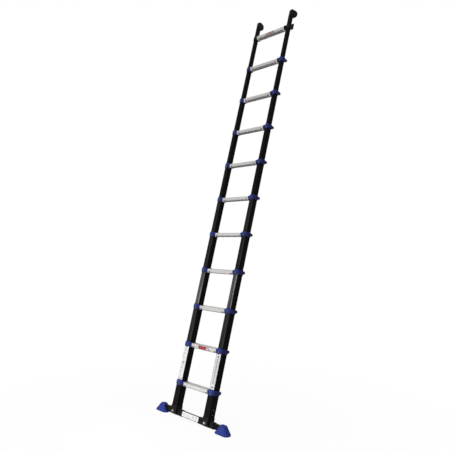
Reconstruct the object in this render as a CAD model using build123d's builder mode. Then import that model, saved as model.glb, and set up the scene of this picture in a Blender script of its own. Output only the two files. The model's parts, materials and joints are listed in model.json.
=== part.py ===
"""A leaning telescopic ladder: nested stile sections, locking rungs, a stabiliser bar and top hooks.

The ladder stands extended at its working lean. X runs along the rungs, Z is up, and the wall is on
the +Y side. The origin is on the floor, midway between the feet, where the plane of the stile axes
meets the floor.
Distances called "along" are measured up the stiles from the floor.
"""

import os
from math import cos, radians, sin

from build123d import *

os.makedirs("parts", exist_ok=True)

# Ladder layout, in millimetres and degrees
rung_count = 11
lean_angle = 74.25
rung_pitch = 290.0
first_rung = 244.0
stile_spacing = 371.0

# Nested stile tubes: the bottom section's outside, then what every section shares
stile_width = 60.0
stile_depth = 58.0
tube_wall = 1.2
tube_gap = 0.25
tube_corner = 5.0
tube_overlap = 50.0
top_stub = 101.0

# Guide plugs in the lower ends of the sliding tubes
plug_flange = 2.0
plug_spigot = 12.0
plug_gap = 0.1

# Collars on the upper ends of the tubes
collar_height = 32.0
collar_wall = 4.0
collar_lip = 3.0
collar_edge = 1.5
shield_share = 0.64
shield_proud = 1.5
shield_rise = 3.0
shield_drop = 11.0
shield_corner = 3.0
lug_width = 16.0
lug_height = 22.0
lug_reach = 44.0
lug_lift = 4.0
top_lug_reach = 32.0
top_lug_lift = 9.0
top_lug_rise = 37.0
top_lug_thickness = 14.0

# Rungs and the collar sockets that hold them
rung_depth = 44.0
rung_base_depth = 26.0
rung_rise = 13.0
rung_drop = 18.0
rung_band = 26.0
rung_corner = 3.0
rung_wall = 1.8
rung_fit = 0.15
groove_count = 6
groove_pitch = 6.0
groove_width = 2.0
groove_depth = 0.8
socket_length = 10.0
socket_wall = 3.0
socket_floor = 3.0

# Lock sliders: a pin, a block inside the rung and a thumb tab through its front
pin_radius = 4.5
pin_clearance = 0.3
pin_recess = 0.3
lock_travel = 8.0
tab_from_stile = 64.0
tab_width = 12.0
tab_height = 6.0
tab_drop = 8.0
tab_proud = 2.0
tab_edge = 1.2
block_length = 30.0
slide_gap = 0.4

# Stabiliser bar
bar_height = 41.0
bar_depth = 24.0
bar_wall = 2.0
bar_corner = 3.0
bar_clear = 14.0
bar_length = 728.0

# Base shoes that stand the stiles on the bar, and their bolts
shoe_wall = 3.0
shoe_floor = 4.0
shoe_socket = 18.0
sleeve_wall = 3.0
sleeve_inward = 88.0
sleeve_outward = 76.0
bolt_radius = 4.0
bolt_clearance = 0.2
thread_gap = 0.05
head_radius = 7.5
head_height = 6.0
head_edge = 1.0
nut_radius = 7.5
nut_height = 6.5

# Rubber feet on the bar's ends: the flared base, the waist and the top, each set in from the bar's end
foot_base_length = 134.0
foot_base_depth = 60.0
foot_base_corner = 28.0
foot_base_inset = 15.0
foot_base_back = 6.0
foot_rim = 8.0
foot_waist_length = 96.0
foot_waist_depth = 48.0
foot_waist_corner = 18.0
foot_waist_inset = 14.0
foot_waist_back = 10.0
foot_waist_height = 26.0
foot_top_length = 52.0
foot_top_depth = 38.0
foot_top_corner = 12.0
foot_top_inset = 19.0
foot_top_back = 15.0
foot_height = 57.0
foot_edge = 2.0

# Hooks plugged into the top ends of the stiles, with heights above those ends
hook_spigot = 24.0
hook_neck = 16.0
hook_nose = 34.0
hook_top = 59.0
hook_reach = 52.0
hook_throat = 18.0
hook_crown = 30.0
hook_heel = 14.0
hook_splay = 12.0
hook_edge = 5.0

# A cut runs this far past the faces that it opens
cut_margin = 1.0

up_along = (0, cos(radians(lean_angle)), sin(radians(lean_angle)))
to_wall = (0, sin(radians(lean_angle)), -cos(radians(lean_angle)))
to_climber = tuple(-part for part in to_wall)
ladder_axis = Axis((0, 0, 0), up_along)
mirror_plane = Plane.YZ
sections = range(1, rung_count + 1)
section_shrink = 2 * (tube_wall + tube_gap)
stile_place = stile_spacing / 2
stile_floor = bar_clear + bar_height + shoe_floor
tab_place = stile_place - tab_from_stile
bar_middle = bar_clear + bar_height / 2


def point(x, along):
    """The point at x in the plane of the stile axes, a distance along the ladder."""
    return (x, along * up_along[1], along * up_along[2])


def rung_place(section):
    """How far along the ladder a section's rung is."""
    return first_rung + rung_pitch * (section - 1)


def tube_size(section):
    """A section's outside width along the rungs and its depth."""
    shrink = section_shrink * (section - 1)
    return stile_width - shrink, stile_depth - shrink


def tube_ends(section):
    """Where along the ladder a section's tubes start and end."""
    if section == 1:
        start = stile_floor
    else:
        start = rung_place(section - 1) + collar_height / 2 - tube_overlap
    if section == rung_count:
        return start, rung_place(section) + top_stub
    return start, rung_place(section) + collar_height / 2 - collar_lip


def tube_face(section):
    """How far from the ladder's middle a section's tubes have their inner side faces."""
    return stile_place - tube_size(section)[0] / 2


def collar_face(section):
    """How far from the ladder's middle a section's collars have their inner side faces."""
    return tube_face(section) - collar_wall


def stile_plane(along):
    """A plane across the right stile, with x along the rungs and y towards the wall."""
    return Plane(origin=point(stile_place, along), x_dir=(1, 0, 0), z_dir=up_along)


def profile_plane(x, along):
    """A plane facing +X, with x towards the wall, square to the stiles, and y up along them."""
    return Plane(origin=point(x, along), x_dir=to_wall, z_dir=(1, 0, 0))


def front_plane(x, along):
    """A plane facing the climber, with x along the rungs and y up along the stiles."""
    return Plane(origin=point(x, along), x_dir=(1, 0, 0), z_dir=to_climber)


def level_plane(x, along):
    """A plane facing +X, with x level towards the wall and y straight up."""
    return Plane(origin=point(x, along), x_dir=(0, 1, 0), z_dir=(1, 0, 0))


def write(part, name):
    """Labels a finished piece and writes it to its own file."""
    part.label = name
    export_step(part, f"parts/{name}.step")


def write_both(part, name, ending=""):
    """Writes a right-hand piece and its mirror image on the left."""
    write(part, f"{name}_right{ending}")
    write(mirror(part, about=mirror_plane), f"{name}_left{ending}")


def rung_outline(growth):
    """The rung's outline with a level top, grown outwards by a distance."""
    half_top = rung_depth / 2
    half_base = rung_base_depth / 2
    band_end = rung_rise - rung_band
    corners = [
        (-half_top, rung_rise),
        (half_top, rung_rise),
        (half_top, band_end),
        (half_base, -rung_drop),
        (-half_base, -rung_drop),
        (-half_top, band_end),
    ]
    with BuildSketch() as outline:
        Polygon(*corners, align=None)
        fillet(outline.vertices(), rung_corner)
        if growth:
            offset(amount=growth)
    return outline.sketch


def bar_outline(growth):
    """The stabiliser bar's outline, grown outwards by a distance."""
    with BuildSketch() as outline:
        RectangleRounded(bar_depth + 2 * growth, bar_height + 2 * growth, bar_corner + growth)
    return outline.sketch


rung_outside = rung_outline(0)
rung_inside = rung_outline(-rung_wall)
socket_inside = rung_outline(rung_fit)
socket_outside = rung_outline(rung_fit + socket_wall)
bar_outside = bar_outline(0)
bar_inside = bar_outline(-bar_wall)
sleeve_outside = bar_outline(sleeve_wall)
bolt_plane = front_plane(stile_place, bar_middle)


def make_stiles(section):
    """A section's two tubes, with holes for the lock pins in the walls that face the rung."""
    width, depth = tube_size(section)
    start, end = tube_ends(section)
    own_hole = [rung_place(section)] if section < rung_count else []
    lock_hole = [rung_place(section - 1)] if section > 1 else []
    with BuildPart() as stiles:
        with BuildSketch(stile_plane(start)):
            RectangleRounded(width, depth, tube_corner)
            RectangleRounded(
                width - 2 * tube_wall,
                depth - 2 * tube_wall,
                tube_corner - tube_wall,
                mode=Mode.SUBTRACT,
            )
        extrude(amount=end - start)
        for along in own_hole + lock_hole:
            with BuildSketch(level_plane(tube_face(section) - cut_margin, along)):
                Circle(pin_radius + pin_clearance)
            extrude(amount=tube_wall + 2 * cut_margin, mode=Mode.SUBTRACT)
        mirror(about=mirror_plane)
    write(stiles.part, f"stile_tubes_{section:02d}")


def draw_lug(section):
    """Draws a collar's lug in the current sketch: a round-ended tongue, or a raised finger at the top."""
    if section < rung_count:
        tongue = lug_reach - lug_height / 2
        with Locations((tongue / 2, lug_lift)):
            SlotCenterToCenter(tongue, lug_height)
        return
    finger = tube_size(section)[1] / 2 + top_lug_reach - top_lug_thickness / 2
    with Locations((finger / 2, top_lug_lift)):
        SlotCenterToCenter(finger, top_lug_thickness)
    with Locations((finger, top_lug_lift + top_lug_rise / 2)):
        SlotCenterToCenter(top_lug_rise, top_lug_thickness, rotation=90)


def draw_shield(section):
    """Draws the shield on a collar's front in the current sketch: a plate that ends in a point below."""
    half_width = shield_share * tube_size(section)[0] / 2
    half_height = collar_height / 2
    corners = [
        (-half_width, half_height + shield_rise),
        (half_width, half_height + shield_rise),
        (half_width, -half_height),
        (0, -half_height - shield_drop),
        (-half_width, -half_height),
    ]
    Polygon(*corners, align=None)


def make_collars(section):
    """A section's two collars with rung sockets and lugs, and the guide plugs below its tubes."""
    width, depth = tube_size(section)
    middle = rung_place(section)
    bottom = middle - collar_height / 2
    is_top = section == rung_count
    socket_start = collar_face(section) - socket_length
    lug_place = stile_place if is_top else stile_place + (width - lug_width) / 2
    with BuildPart() as collars:
        with BuildSketch(stile_plane(bottom)):
            RectangleRounded(width + 2 * collar_wall, depth + 2 * collar_wall, tube_corner + collar_wall)
        extrude(amount=collar_height)
        rims = collars.faces().group_by(ladder_axis)
        chamfer((rims[0] + rims[-1]).edges(), collar_edge)
        with BuildSketch(level_plane(socket_start, middle)):
            add(socket_outside)
        extrude(amount=socket_length + socket_floor)
        with BuildSketch(profile_plane(lug_place, middle)):
            draw_lug(section)
        extrude(amount=lug_width / 2, both=True)
        if not is_top:
            with BuildSketch(front_plane(stile_place, middle).offset(depth / 2)) as shield:
                draw_shield(section)
                fillet(shield.vertices(), shield_corner)
            extrude(amount=collar_wall + shield_proud)
        with BuildSketch(level_plane(socket_start - cut_margin, middle)):
            add(socket_inside)
        extrude(amount=socket_length + cut_margin, mode=Mode.SUBTRACT)
        with BuildSketch(stile_plane(bottom - cut_margin)):
            RectangleRounded(width, depth, tube_corner)
        bore_end = cut_margin if is_top else -collar_lip
        extrude(amount=collar_height + cut_margin + bore_end, mode=Mode.SUBTRACT)
        if not is_top:
            with BuildSketch(stile_plane(middle)):
                RectangleRounded(width - 2 * tube_wall, depth - 2 * tube_wall, tube_corner)
            extrude(amount=collar_height, mode=Mode.SUBTRACT)
            with BuildSketch(level_plane(collar_face(section) - cut_margin, middle)):
                Circle(pin_radius + pin_clearance)
            extrude(amount=collar_wall + 2 * cut_margin, mode=Mode.SUBTRACT)
        if section > 1:
            tube_start = tube_ends(section)[0]
            spigot_shrink = 2 * (tube_wall + plug_gap)
            with BuildSketch(stile_plane(tube_start - plug_flange)):
                RectangleRounded(width, depth, tube_corner)
            extrude(amount=plug_flange)
            with BuildSketch(stile_plane(tube_start)):
                RectangleRounded(width - spigot_shrink, depth - spigot_shrink, tube_corner - tube_wall)
            extrude(amount=plug_spigot)
        mirror(about=mirror_plane)
    write(collars.part, f"collars_{section:02d}")


def make_rung(section):
    """A hollow rung with a grooved tread, and slots in its front for the thumb tabs."""
    half = collar_face(section)
    middle = rung_place(section)
    groove_row = groove_pitch * (groove_count - 1) / 2
    with BuildPart() as rung:
        with BuildSketch(level_plane(-half, middle)):
            add(rung_outside)
            add(rung_inside, mode=Mode.SUBTRACT)
            for groove in range(groove_count):
                with Locations((groove * groove_pitch - groove_row, rung_rise)):
                    Rectangle(groove_width, 2 * groove_depth, mode=Mode.SUBTRACT)
        extrude(amount=2 * half)
        if section < rung_count:
            slot_place = tab_place + lock_travel / 2
            slot_depth = (rung_depth - rung_base_depth) / 2 + rung_wall + cut_margin
            x, y, z = point(0, middle)
            front = Plane(
                origin=(x, y - rung_depth / 2, z - tab_drop), x_dir=(1, 0, 0), z_dir=(0, -1, 0)
            )
            with BuildSketch(front):
                with Locations((slot_place, 0), (-slot_place, 0)):
                    Rectangle(tab_width + lock_travel + 2 * slide_gap, tab_height + 2 * slide_gap)
            extrude(amount=slot_depth, both=True, mode=Mode.SUBTRACT)
    write(rung.part, f"rung_{section:02d}")


def make_lock_sliders(section):
    """A rung's lock sliders, drawn back: each pin ends inside the tube's wall, short of the next tube."""
    middle = rung_place(section)
    pin_tip = tube_face(section) + tube_wall - pin_recess
    block_start = tab_place - block_length / 2
    block_front = rung_base_depth / 2 - rung_wall - slide_gap
    block_height = tab_drop + tab_height / 2
    tab_front = rung_depth / 2 + tab_proud
    with BuildPart() as slider:
        with BuildSketch(level_plane(tab_place - tab_width / 2, middle)):
            with Locations((-tab_front, -tab_drop)):
                Rectangle(tab_front, tab_height, align=(Align.MIN, Align.CENTER))
        extrude(amount=tab_width)
        chamfer(slider.faces().sort_by(Axis.Y)[0].edges(), tab_edge)
        with BuildSketch(level_plane(block_start, middle)):
            with Locations((-block_front, 0)):
                Rectangle(block_front + pin_radius, block_height, align=(Align.MIN, Align.MAX))
        extrude(amount=block_length)
        with BuildSketch(level_plane(block_start, middle)):
            Circle(pin_radius)
        extrude(amount=pin_tip - block_start)
    write_both(slider.part, "lock_slider", f"_{section:02d}")


def make_hooks():
    """The two top hooks: each plugs its tube and bends to the wall side, splayed a little outwards."""
    width, depth = tube_size(rung_count)
    tube_end = tube_ends(rung_count)[1]
    spigot_shrink = 2 * (tube_wall + plug_gap)
    front = depth / 2
    reach_dir = Vector(*to_wall) * cos(radians(hook_splay)) + Vector(sin(radians(hook_splay)), 0, 0)
    arm_plane = Plane(
        origin=point(stile_place, tube_end), x_dir=reach_dir, z_dir=reach_dir.cross(Vector(*up_along))
    )
    throat = (hook_throat, hook_nose)
    crown = (hook_crown, hook_nose)
    heel = (hook_heel - front, hook_top - hook_heel)
    with BuildPart() as hooks:
        with BuildSketch(arm_plane):
            with BuildLine():
                Polyline((-front, heel[1]), (-front, 0), (hook_throat, 0))
                EllipticalCenterArc(throat, hook_reach - hook_throat, hook_nose, 270, arc_size=90)
                EllipticalCenterArc(crown, hook_reach - hook_crown, hook_top - hook_nose, 0, arc_size=90)
                Line((hook_crown, hook_top), (heel[0], hook_top))
                EllipticalCenterArc(heel, hook_heel, hook_heel, 90, arc_size=90)
            make_face()
        extrude(amount=width / 2, both=True)
        cheeks = hooks.faces().sort_by(Axis(arm_plane.origin, arm_plane.z_dir))
        fillet(cheeks[0].edges() + cheeks[-1].edges(), hook_edge)
        with BuildSketch(stile_plane(tube_end)):
            RectangleRounded(width, depth, tube_corner)
        extrude(amount=hook_neck)
        with BuildSketch(stile_plane(tube_end - hook_spigot)):
            RectangleRounded(width - spigot_shrink, depth - spigot_shrink, tube_corner - tube_wall)
        extrude(amount=hook_spigot + hook_neck)
        mirror(about=mirror_plane)
    write(hooks.part, "top_hooks")


def make_bar():
    """The hollow stabiliser bar, drilled through for the shoe bolts."""
    with BuildPart() as bar:
        with BuildSketch(profile_plane(-bar_length / 2, bar_middle)):
            add(bar_outside)
            add(bar_inside, mode=Mode.SUBTRACT)
        extrude(amount=bar_length)
        with BuildSketch(bolt_plane):
            with Locations((0, 0), (-stile_spacing, 0)):
                Circle(bolt_radius + bolt_clearance)
        extrude(amount=bar_depth / 2 + cut_margin, both=True, mode=Mode.SUBTRACT)
    write(bar.part, "stabiliser_bar")


def make_shoes():
    """The base shoes: each is a sleeve on the bar with a socket above it for the bottom of the stile."""
    shoe_width = stile_width + 2 * shoe_wall
    shoe_depth = stile_depth + 2 * shoe_wall
    shoe_corner = tube_corner + shoe_wall
    toe = stile_plane(bar_clear - sleeve_wall)
    shoulder = bar_middle - head_radius - head_edge
    sleeve_start = stile_place - sleeve_inward
    sleeve_length = sleeve_inward + sleeve_outward
    with BuildPart() as shoe:
        with BuildSketch(toe):
            RectangleRounded(shoe_width, bar_depth + 2 * sleeve_wall, shoe_corner)
        with BuildSketch(stile_plane(shoulder)):
            RectangleRounded(shoe_width, shoe_depth, shoe_corner)
        loft()
        with BuildSketch(stile_plane(shoulder)):
            RectangleRounded(shoe_width, shoe_depth, shoe_corner)
        extrude(amount=stile_floor + shoe_socket - shoulder)
        with BuildSketch(profile_plane(sleeve_start, bar_middle)):
            add(sleeve_outside)
        extrude(amount=sleeve_length)
        with BuildSketch(profile_plane(sleeve_start - cut_margin, bar_middle)):
            add(bar_outside)
        extrude(amount=sleeve_length + 2 * cut_margin, mode=Mode.SUBTRACT)
        with BuildSketch(stile_plane(stile_floor)):
            RectangleRounded(stile_width, stile_depth, tube_corner)
        extrude(amount=shoe_socket + cut_margin, mode=Mode.SUBTRACT)
        with BuildSketch(bolt_plane):
            Circle(bolt_radius + bolt_clearance)
        extrude(amount=shoe_depth / 2 + cut_margin, both=True, mode=Mode.SUBTRACT)
    write_both(shoe.part, "base_shoe")


def make_bolts():
    """A bolt through each shoe and the bar, with its head on the climber's side, and a nut behind."""
    shoe_face = stile_depth / 2 + shoe_wall
    with BuildPart() as bolts:
        with BuildSketch(bolt_plane.offset(shoe_face)):
            RegularPolygon(head_radius, 6)
        extrude(amount=head_height)
        chamfer(bolts.faces().sort_by(Axis((0, 0, 0), to_climber))[-1].edges(), head_edge)
        with BuildSketch(bolt_plane.offset(-shoe_face - nut_height)):
            Circle(bolt_radius)
        extrude(amount=2 * shoe_face + nut_height)
        with BuildSketch(bolt_plane.offset(-shoe_face - nut_height)):
            RegularPolygon(nut_radius, 6)
            Circle(bolt_radius + thread_gap, mode=Mode.SUBTRACT)
        extrude(amount=nut_height)
        mirror(about=mirror_plane)
    write(bolts.part, "base_bolts")


def make_feet():
    """The flared rubber feet with flat soles, moulded round the bar's ends."""
    bar_end = bar_length / 2
    base = Plane(origin=(bar_end - foot_base_inset, foot_base_back, 0))
    waist = Plane(origin=(bar_end - foot_waist_inset, foot_waist_back, foot_waist_height))
    top = Plane(origin=(bar_end - foot_top_inset, foot_top_back, foot_height))
    pocket_start = bar_end - foot_base_length
    with BuildPart() as foot:
        with BuildSketch(base):
            RectangleRounded(foot_base_length, foot_base_depth, foot_base_corner)
        extrude(amount=foot_rim)
        with BuildSketch(base.offset(foot_rim)):
            RectangleRounded(foot_base_length, foot_base_depth, foot_base_corner)
        with BuildSketch(waist):
            RectangleRounded(foot_waist_length, foot_waist_depth, foot_waist_corner)
        with BuildSketch(top):
            RectangleRounded(foot_top_length, foot_top_depth, foot_top_corner)
        loft()
        fillet(foot.faces().sort_by(Axis.Z)[-1].edges(), foot_edge)
        with BuildSketch(profile_plane(pocket_start, bar_middle)):
            add(bar_outside)
        extrude(amount=bar_end - pocket_start, mode=Mode.SUBTRACT)
    write_both(foot.part, "foot")


for section in sections:
    make_stiles(section)
    make_collars(section)
    make_rung(section)
    if section < rung_count:
        make_lock_sliders(section)
make_hooks()
make_bar()
make_shoes()
make_bolts()
make_feet()
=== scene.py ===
"""Dresses the telescopic ladder: a finish for every part, and the small pieces that the parts carry.

Most pieces are modelled upright at the origin, with X along the rungs, Y towards the wall and Z up the
stiles. They are then tilted by the ladder's lean and moved to their place.
"""

import json
from math import atan2, cos, pi, radians, sin

import bpy
from bpy.props import FloatProperty, FloatVectorProperty, IntProperty, PointerProperty
from mathutils import Matrix, Vector


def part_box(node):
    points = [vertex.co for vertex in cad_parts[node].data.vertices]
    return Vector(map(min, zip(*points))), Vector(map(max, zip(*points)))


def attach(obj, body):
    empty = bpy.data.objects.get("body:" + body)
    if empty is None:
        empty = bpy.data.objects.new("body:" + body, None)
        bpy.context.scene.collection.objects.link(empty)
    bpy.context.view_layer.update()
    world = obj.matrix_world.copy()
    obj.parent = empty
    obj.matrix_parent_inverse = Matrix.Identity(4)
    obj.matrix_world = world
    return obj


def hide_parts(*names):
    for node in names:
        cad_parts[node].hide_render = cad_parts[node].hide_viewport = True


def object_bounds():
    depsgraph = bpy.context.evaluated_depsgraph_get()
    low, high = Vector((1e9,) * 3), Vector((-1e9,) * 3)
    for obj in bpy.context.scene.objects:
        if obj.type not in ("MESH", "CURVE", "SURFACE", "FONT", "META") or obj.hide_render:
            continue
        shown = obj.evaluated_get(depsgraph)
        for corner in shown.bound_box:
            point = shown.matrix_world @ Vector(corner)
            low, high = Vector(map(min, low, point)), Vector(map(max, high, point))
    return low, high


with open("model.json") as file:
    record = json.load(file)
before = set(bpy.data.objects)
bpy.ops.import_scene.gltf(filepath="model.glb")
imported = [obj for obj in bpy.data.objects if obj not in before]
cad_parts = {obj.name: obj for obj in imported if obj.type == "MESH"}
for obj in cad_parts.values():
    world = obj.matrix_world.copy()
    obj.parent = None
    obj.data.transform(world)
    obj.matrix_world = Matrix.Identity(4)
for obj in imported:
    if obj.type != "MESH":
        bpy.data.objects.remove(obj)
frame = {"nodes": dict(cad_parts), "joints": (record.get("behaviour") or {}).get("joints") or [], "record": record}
cad_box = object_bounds()

bl_info = {
    "name": "Telescopic ladder",
    "version": (1, 0, 0),
    "blender": (4, 5, 0),
    "location": "View3D > Sidebar > Ladder",
    "description": "Gives a telescopic ladder its finishes, its trim and a stage",
    "category": "Add Mesh",
}

record = frame["record"]
climb = Vector(frame["joints"][0]["axis"])
to_wall = Vector((0, climb.z, -climb.y))
tilt = atan2(climb.z, climb.y) - pi / 2
body_of = {node: body for body, nodes in record["behaviour"]["bodies"].items() for node in nodes}
slot_of = {part["node"]: part["material_slot"] for part in record["subparts"]}
slot_colours = {material["slot"]: material["base_color"] for material in record["materials"]}
section_count = sum(node.startswith("rung_") for node in frame["nodes"])
sections = range(1, section_count + 1)
sides = {"left": -1, "right": 1}
same_place = 1e-6
sharp_angle = radians(30)
smooth_angle = radians(35)
facing_climber = (pi / 2, 0, 0)
facing_sideways = (0, pi / 2, 0)

# From this rung up, the pads have dark lips up the rungs' fronts and backs, as painted shade on the upper rungs'
# lower edges; the rungs below have none
first_shade_lip_rung = 5

# How strongly a pale sheen is painted on the fronts of these sections' stiles, from 0 to 1, in place of a lamp's
# reflection
painted_sheen_of_sections = {3: 0.14, 4: 0.75, 5: 0.1, 6: 0.09}


def length(name, default, description):
    """A property that holds a length in metres."""
    return FloatProperty(
        name=name, description=description, default=default, min=0, precision=5, unit="LENGTH"
    )


def number_of(name, default, description):
    """A property that holds a number of like pieces."""
    return IntProperty(name=name, description=description, default=default, min=0, max=60)


def share(name, default, description):
    """A property that holds a share from 0 to 1."""
    return FloatProperty(
        name=name, description=description, default=default, min=0, max=1, subtype="FACTOR"
    )


def point(name, default, description):
    """A property that holds a point in metres."""
    return FloatVectorProperty(name=name, description=description, default=default, unit="LENGTH")


def power(name, default, description):
    """A property that holds a lamp's power in watts."""
    return FloatProperty(name=name, description=description, default=default, min=0, unit="POWER")


def colour(name, default, description):
    """A property that holds a linear colour."""
    return FloatVectorProperty(
        name=name, description=description, default=tuple(default), min=0, max=1, subtype="COLOR"
    )


class LadderSizes(bpy.types.PropertyGroup):
    """Sizes of the ladder that the trim fits, and of the trim itself."""

    stile_spacing: length("Stile spacing", 0.371, "Distance between the axes of the two stiles")
    stile_width: length("Stile width", 0.060, "Width of the bottom stile tubes along the rungs")
    stile_depth: length("Stile depth", 0.058, "Depth of the bottom stile tubes")
    section_step: length("Section step", 0.0029, "How much narrower each section is than the one below")
    tube_corner: length("Tube corner", 0.005, "Corner radius of the stile tubes")
    collar_wall: length("Collar wall", 0.004, "Thickness of the collars round the tubes")
    collar_height: length("Collar height", 0.032, "Height of the collars along the stiles")
    shield_proud: length("Shield height", 0.0015, "How far the shields stand out of the collars' fronts")
    shield_share: share("Shield share", 0.64, "A shield's width as a share of its tube's")
    inlay_margin: length("Inlay margin", 0.0025, "Space between an inlay and the sides of its shield")
    inlay_height: length("Inlay height", 0.011, "Height of the inlays on the shields")
    inlay_point: length("Inlay point", 0.007, "How far the points of the inlays hang down")
    inlay_lift: length("Inlay lift", 0.009, "Height of the inlays above the rungs' middles")
    inlay_proud: length("Inlay thickness", 0.0007, "How far the inlays stand out of the shields")
    inlay_edge: length("Inlay edge", 0.00056, "Rounding of the inlays' edges")
    bar_place: length("Bar place", 0.0345, "Middle of the stabiliser bar, up the ladder from the floor")
    bar_depth: length("Bar depth", 0.024, "Depth of the stabiliser bar")
    bar_height: length("Bar height", 0.041, "Height of the stabiliser bar")
    bar_corner: length("Bar corner", 0.003, "Corner radius of the stabiliser bar")
    shoe_wall: length("Shoe wall", 0.003, "Thickness of the base shoes round the stiles")
    screw_radius: length("Screw radius", 0.0036, "Radius of the screw heads on the collars")
    screw_height: length("Screw height", 0.0016, "Height of the screw heads on the collars")
    screw_drop: length("Screw drop", 0.0095, "Depth of the screws below the rungs' middles")
    screw_edge: length("Screw edge", 0.0008, "Rounding of the screw heads' edges")
    socket_radius: length("Socket radius", 0.0018, "Radius of the sockets in the screw heads")
    socket_depth: length("Socket depth", 0.00096, "Depth of the sockets in the screw heads")
    grip_pitch: length("Grip pitch", 0.006, "Distance between the grip ribs on the collars' sides")
    grip_width: length("Grip width", 0.0026, "Width of a grip rib on a collar")
    grip_height: length("Grip length", 0.020, "Length of a grip rib on a collar")
    grip_proud: length("Grip height above collar", 0.0009, "How far a grip rib stands out of its collar")
    grip_edge: length("Grip edge", 0.00081, "Rounding of the grip ribs' edges")
    tab_place: length("Thumb tab place", 0.1215, "Distance of the thumb tabs from the ladder's middle")
    tab_drop: length("Thumb tab drop", 0.008, "Depth of the thumb tabs below the rung's middle")
    ridge_count: number_of("Ridges", 3, "Number of ridges on a thumb tab")
    ridge_pitch: length("Ridge pitch", 0.0036, "Distance between the ridges on a thumb tab")
    ridge_width: length("Ridge width", 0.0016, "Width of a ridge on a thumb tab")
    ridge_height: length("Ridge length", 0.0034, "Length of a ridge on a thumb tab")
    ridge_proud: length("Ridge height", 0.0008, "How far a ridge stands out of its thumb tab")
    ridge_edge: length("Ridge edge", 0.00072, "Rounding of the ridges' edges")
    pad_count: number_of("Pads", 17, "Number of rubber pads under a rung")
    tab_room: number_of("Tab room", 2, "Number of lips left out for each thumb tab")
    pad_pitch: length("Pad pitch", 0.0165, "Distance between the pads under a rung")
    pad_length: length("Pad length", 0.0105, "Length of a pad along the rung")
    pad_proud: length("Pad height", 0.001, "How far a pad stands out of its rung")
    pad_sunk: length("Pad depth", 0.0009, "How far a pad is set into its rung's wall")
    pad_wrap: length("Pad wrap", 0.0045, "How far a pad reaches up its rung's slanting lower edges")
    pad_edge: length("Pad edge", 0.0004, "Rounding of the pads' edges")
    lip_reach: length("Lip reach", 0.005, "How far the pads' lips reach up the upper rungs")
    lip_proud: length("Lip height", 0.0006, "How far a lip stands out of its rung")
    lip_edge: length("Lip edge", 0.0003, "Rounding of the lips' edges")
    tooth_count: number_of("Teeth", 30, "Number of teeth along each edge of a tread")
    tooth_pitch: length("Tooth pitch", 0.009, "Distance between the teeth along a tread's edge")
    tooth_size: length("Tooth size", 0.0035, "Length and depth of a tooth on a tread")
    tooth_height: length("Tooth height", 0.0008, "How far a tooth stands out of its tread")
    tooth_inset: length("Tooth inset", 0.0035, "Distance of the teeth from the tread's edges")
    tooth_taper: share("Tooth taper", 0.55, "Size of a tooth's top as a share of its foot")
    rung_depth: length("Rung depth", 0.044, "Depth of the rungs")
    rung_base_depth: length("Rung base depth", 0.026, "Depth of the rungs' undersides")
    rung_slope: length("Rung slope", 0.005, "Height of the rungs' slanting lower edges")
    rivet_radius: length("Rivet radius", 0.0028, "Radius of the rivets at the bottom of the stiles")
    rivet_height: length("Rivet height", 0.0014, "Height of the rivets at the bottom of the stiles")
    rivet_edge: length("Rivet edge", 0.00098, "Rounding of the rivets' edges")
    rivet_place: length("Rivet place", 0.096, "Lowest rivet's place up the ladder from the floor")
    rivet_pitch: length("Rivet pitch", 0.034, "Distance between the rivets at the bottom of the stiles")
    head_room: length("Bolt head room", 0.008, "Radius of the washers' bores")
    washer_radius: length("Washer radius", 0.0105, "Radius of the washers under the base bolts")
    washer_thickness: length("Washer thickness", 0.0016, "Thickness of the washers under the base bolts")
    washer_edge: length("Washer edge", 0.0004, "Rounding of the washers' edges")
    tread_pitch: length("Tread pitch", 0.009, "Distance between the grooves in the feet's soles")
    tread_width: length("Tread width", 0.003, "Width of a groove in a foot's sole")
    tread_depth: length("Tread depth", 0.003, "Depth of a groove in a foot's sole")
    hook_stub: length("Hook stub", 0.101, "Height of the hooks' undersides above the top rung")
    hook_nose: length("Hook nose", 0.034, "Height of the hooks' noses above their undersides")
    hook_reach: length("Hook reach", 0.052, "Distance of the hooks' noses from the stile axes")
    hook_throat: length("Hook throat", 0.018, "Where the hooks' undersides start to curve up")
    hook_splay: FloatProperty(
        name="Hook splay", description="How far the hooks turn outwards", default=radians(12),
        subtype="ANGLE",
    )
    hook_rib_count: number_of("Hook ribs", 6, "Number of grip ribs under a hook's nose")
    hook_rib_radius: length("Hook rib radius", 0.0014, "Radius of the grip ribs on the hooks")
    hook_rib_edge: length("Hook rib edge", 0.00084, "Rounding of the ends of the hooks' ribs")
    label_thickness: length("Label thickness", 0.0001, "Thickness of the stuck-on labels")
    label_margin: length("Label margin", 0.004, "Space between a stile label and the collars")
    label_corner: length("Label corner", 0.003, "Corner radius of the labels")
    bar_label_length: length("Bar label length", 0.192, "Length of the label on the stabiliser bar")
    print_thickness: length("Print thickness", 0.00008, "Thickness of the grey marks on the labels")
    print_line: length("Print line", 0.0024, "Thickness of the lines printed on the labels")
    print_rows: number_of("Print rows", 8, "Rows of marks on the left stile's label")
    print_rounding: share("Print rounding", 0.3, "A mark's corners as a share of its shorter side")
    badge_length: length("Badge length", 0.122, "Length of the badge on the second rung")
    badge_height: length("Badge height", 0.024, "Height of the badge on the second rung")
    badge_drop: length("Badge drop", 0.0136, "Depth of the badge's middle below the tread")
    badge_proud: length("Badge thickness", 0.0006, "How far the badge stands out of its rung")
    badge_sunk: length("Badge depth", 0.0003, "How far the badge is set into its rung")
    badge_edge: length("Badge edge", 0.00018, "Rounding of the badge's edges")
    stripe_width: length("Stripe width", 0.0095, "Width of the slanting stripes on two of the rungs")
    stripe_pitch: length("Stripe pitch", 0.0152, "Distance between the slanting stripes")
    stripe_height: length("Stripe height", 0.0192, "Height of the slanting stripes")
    stripe_slant: length("Stripe slant", 0.0096, "How far the stripes' tops are beside their feet")
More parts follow.
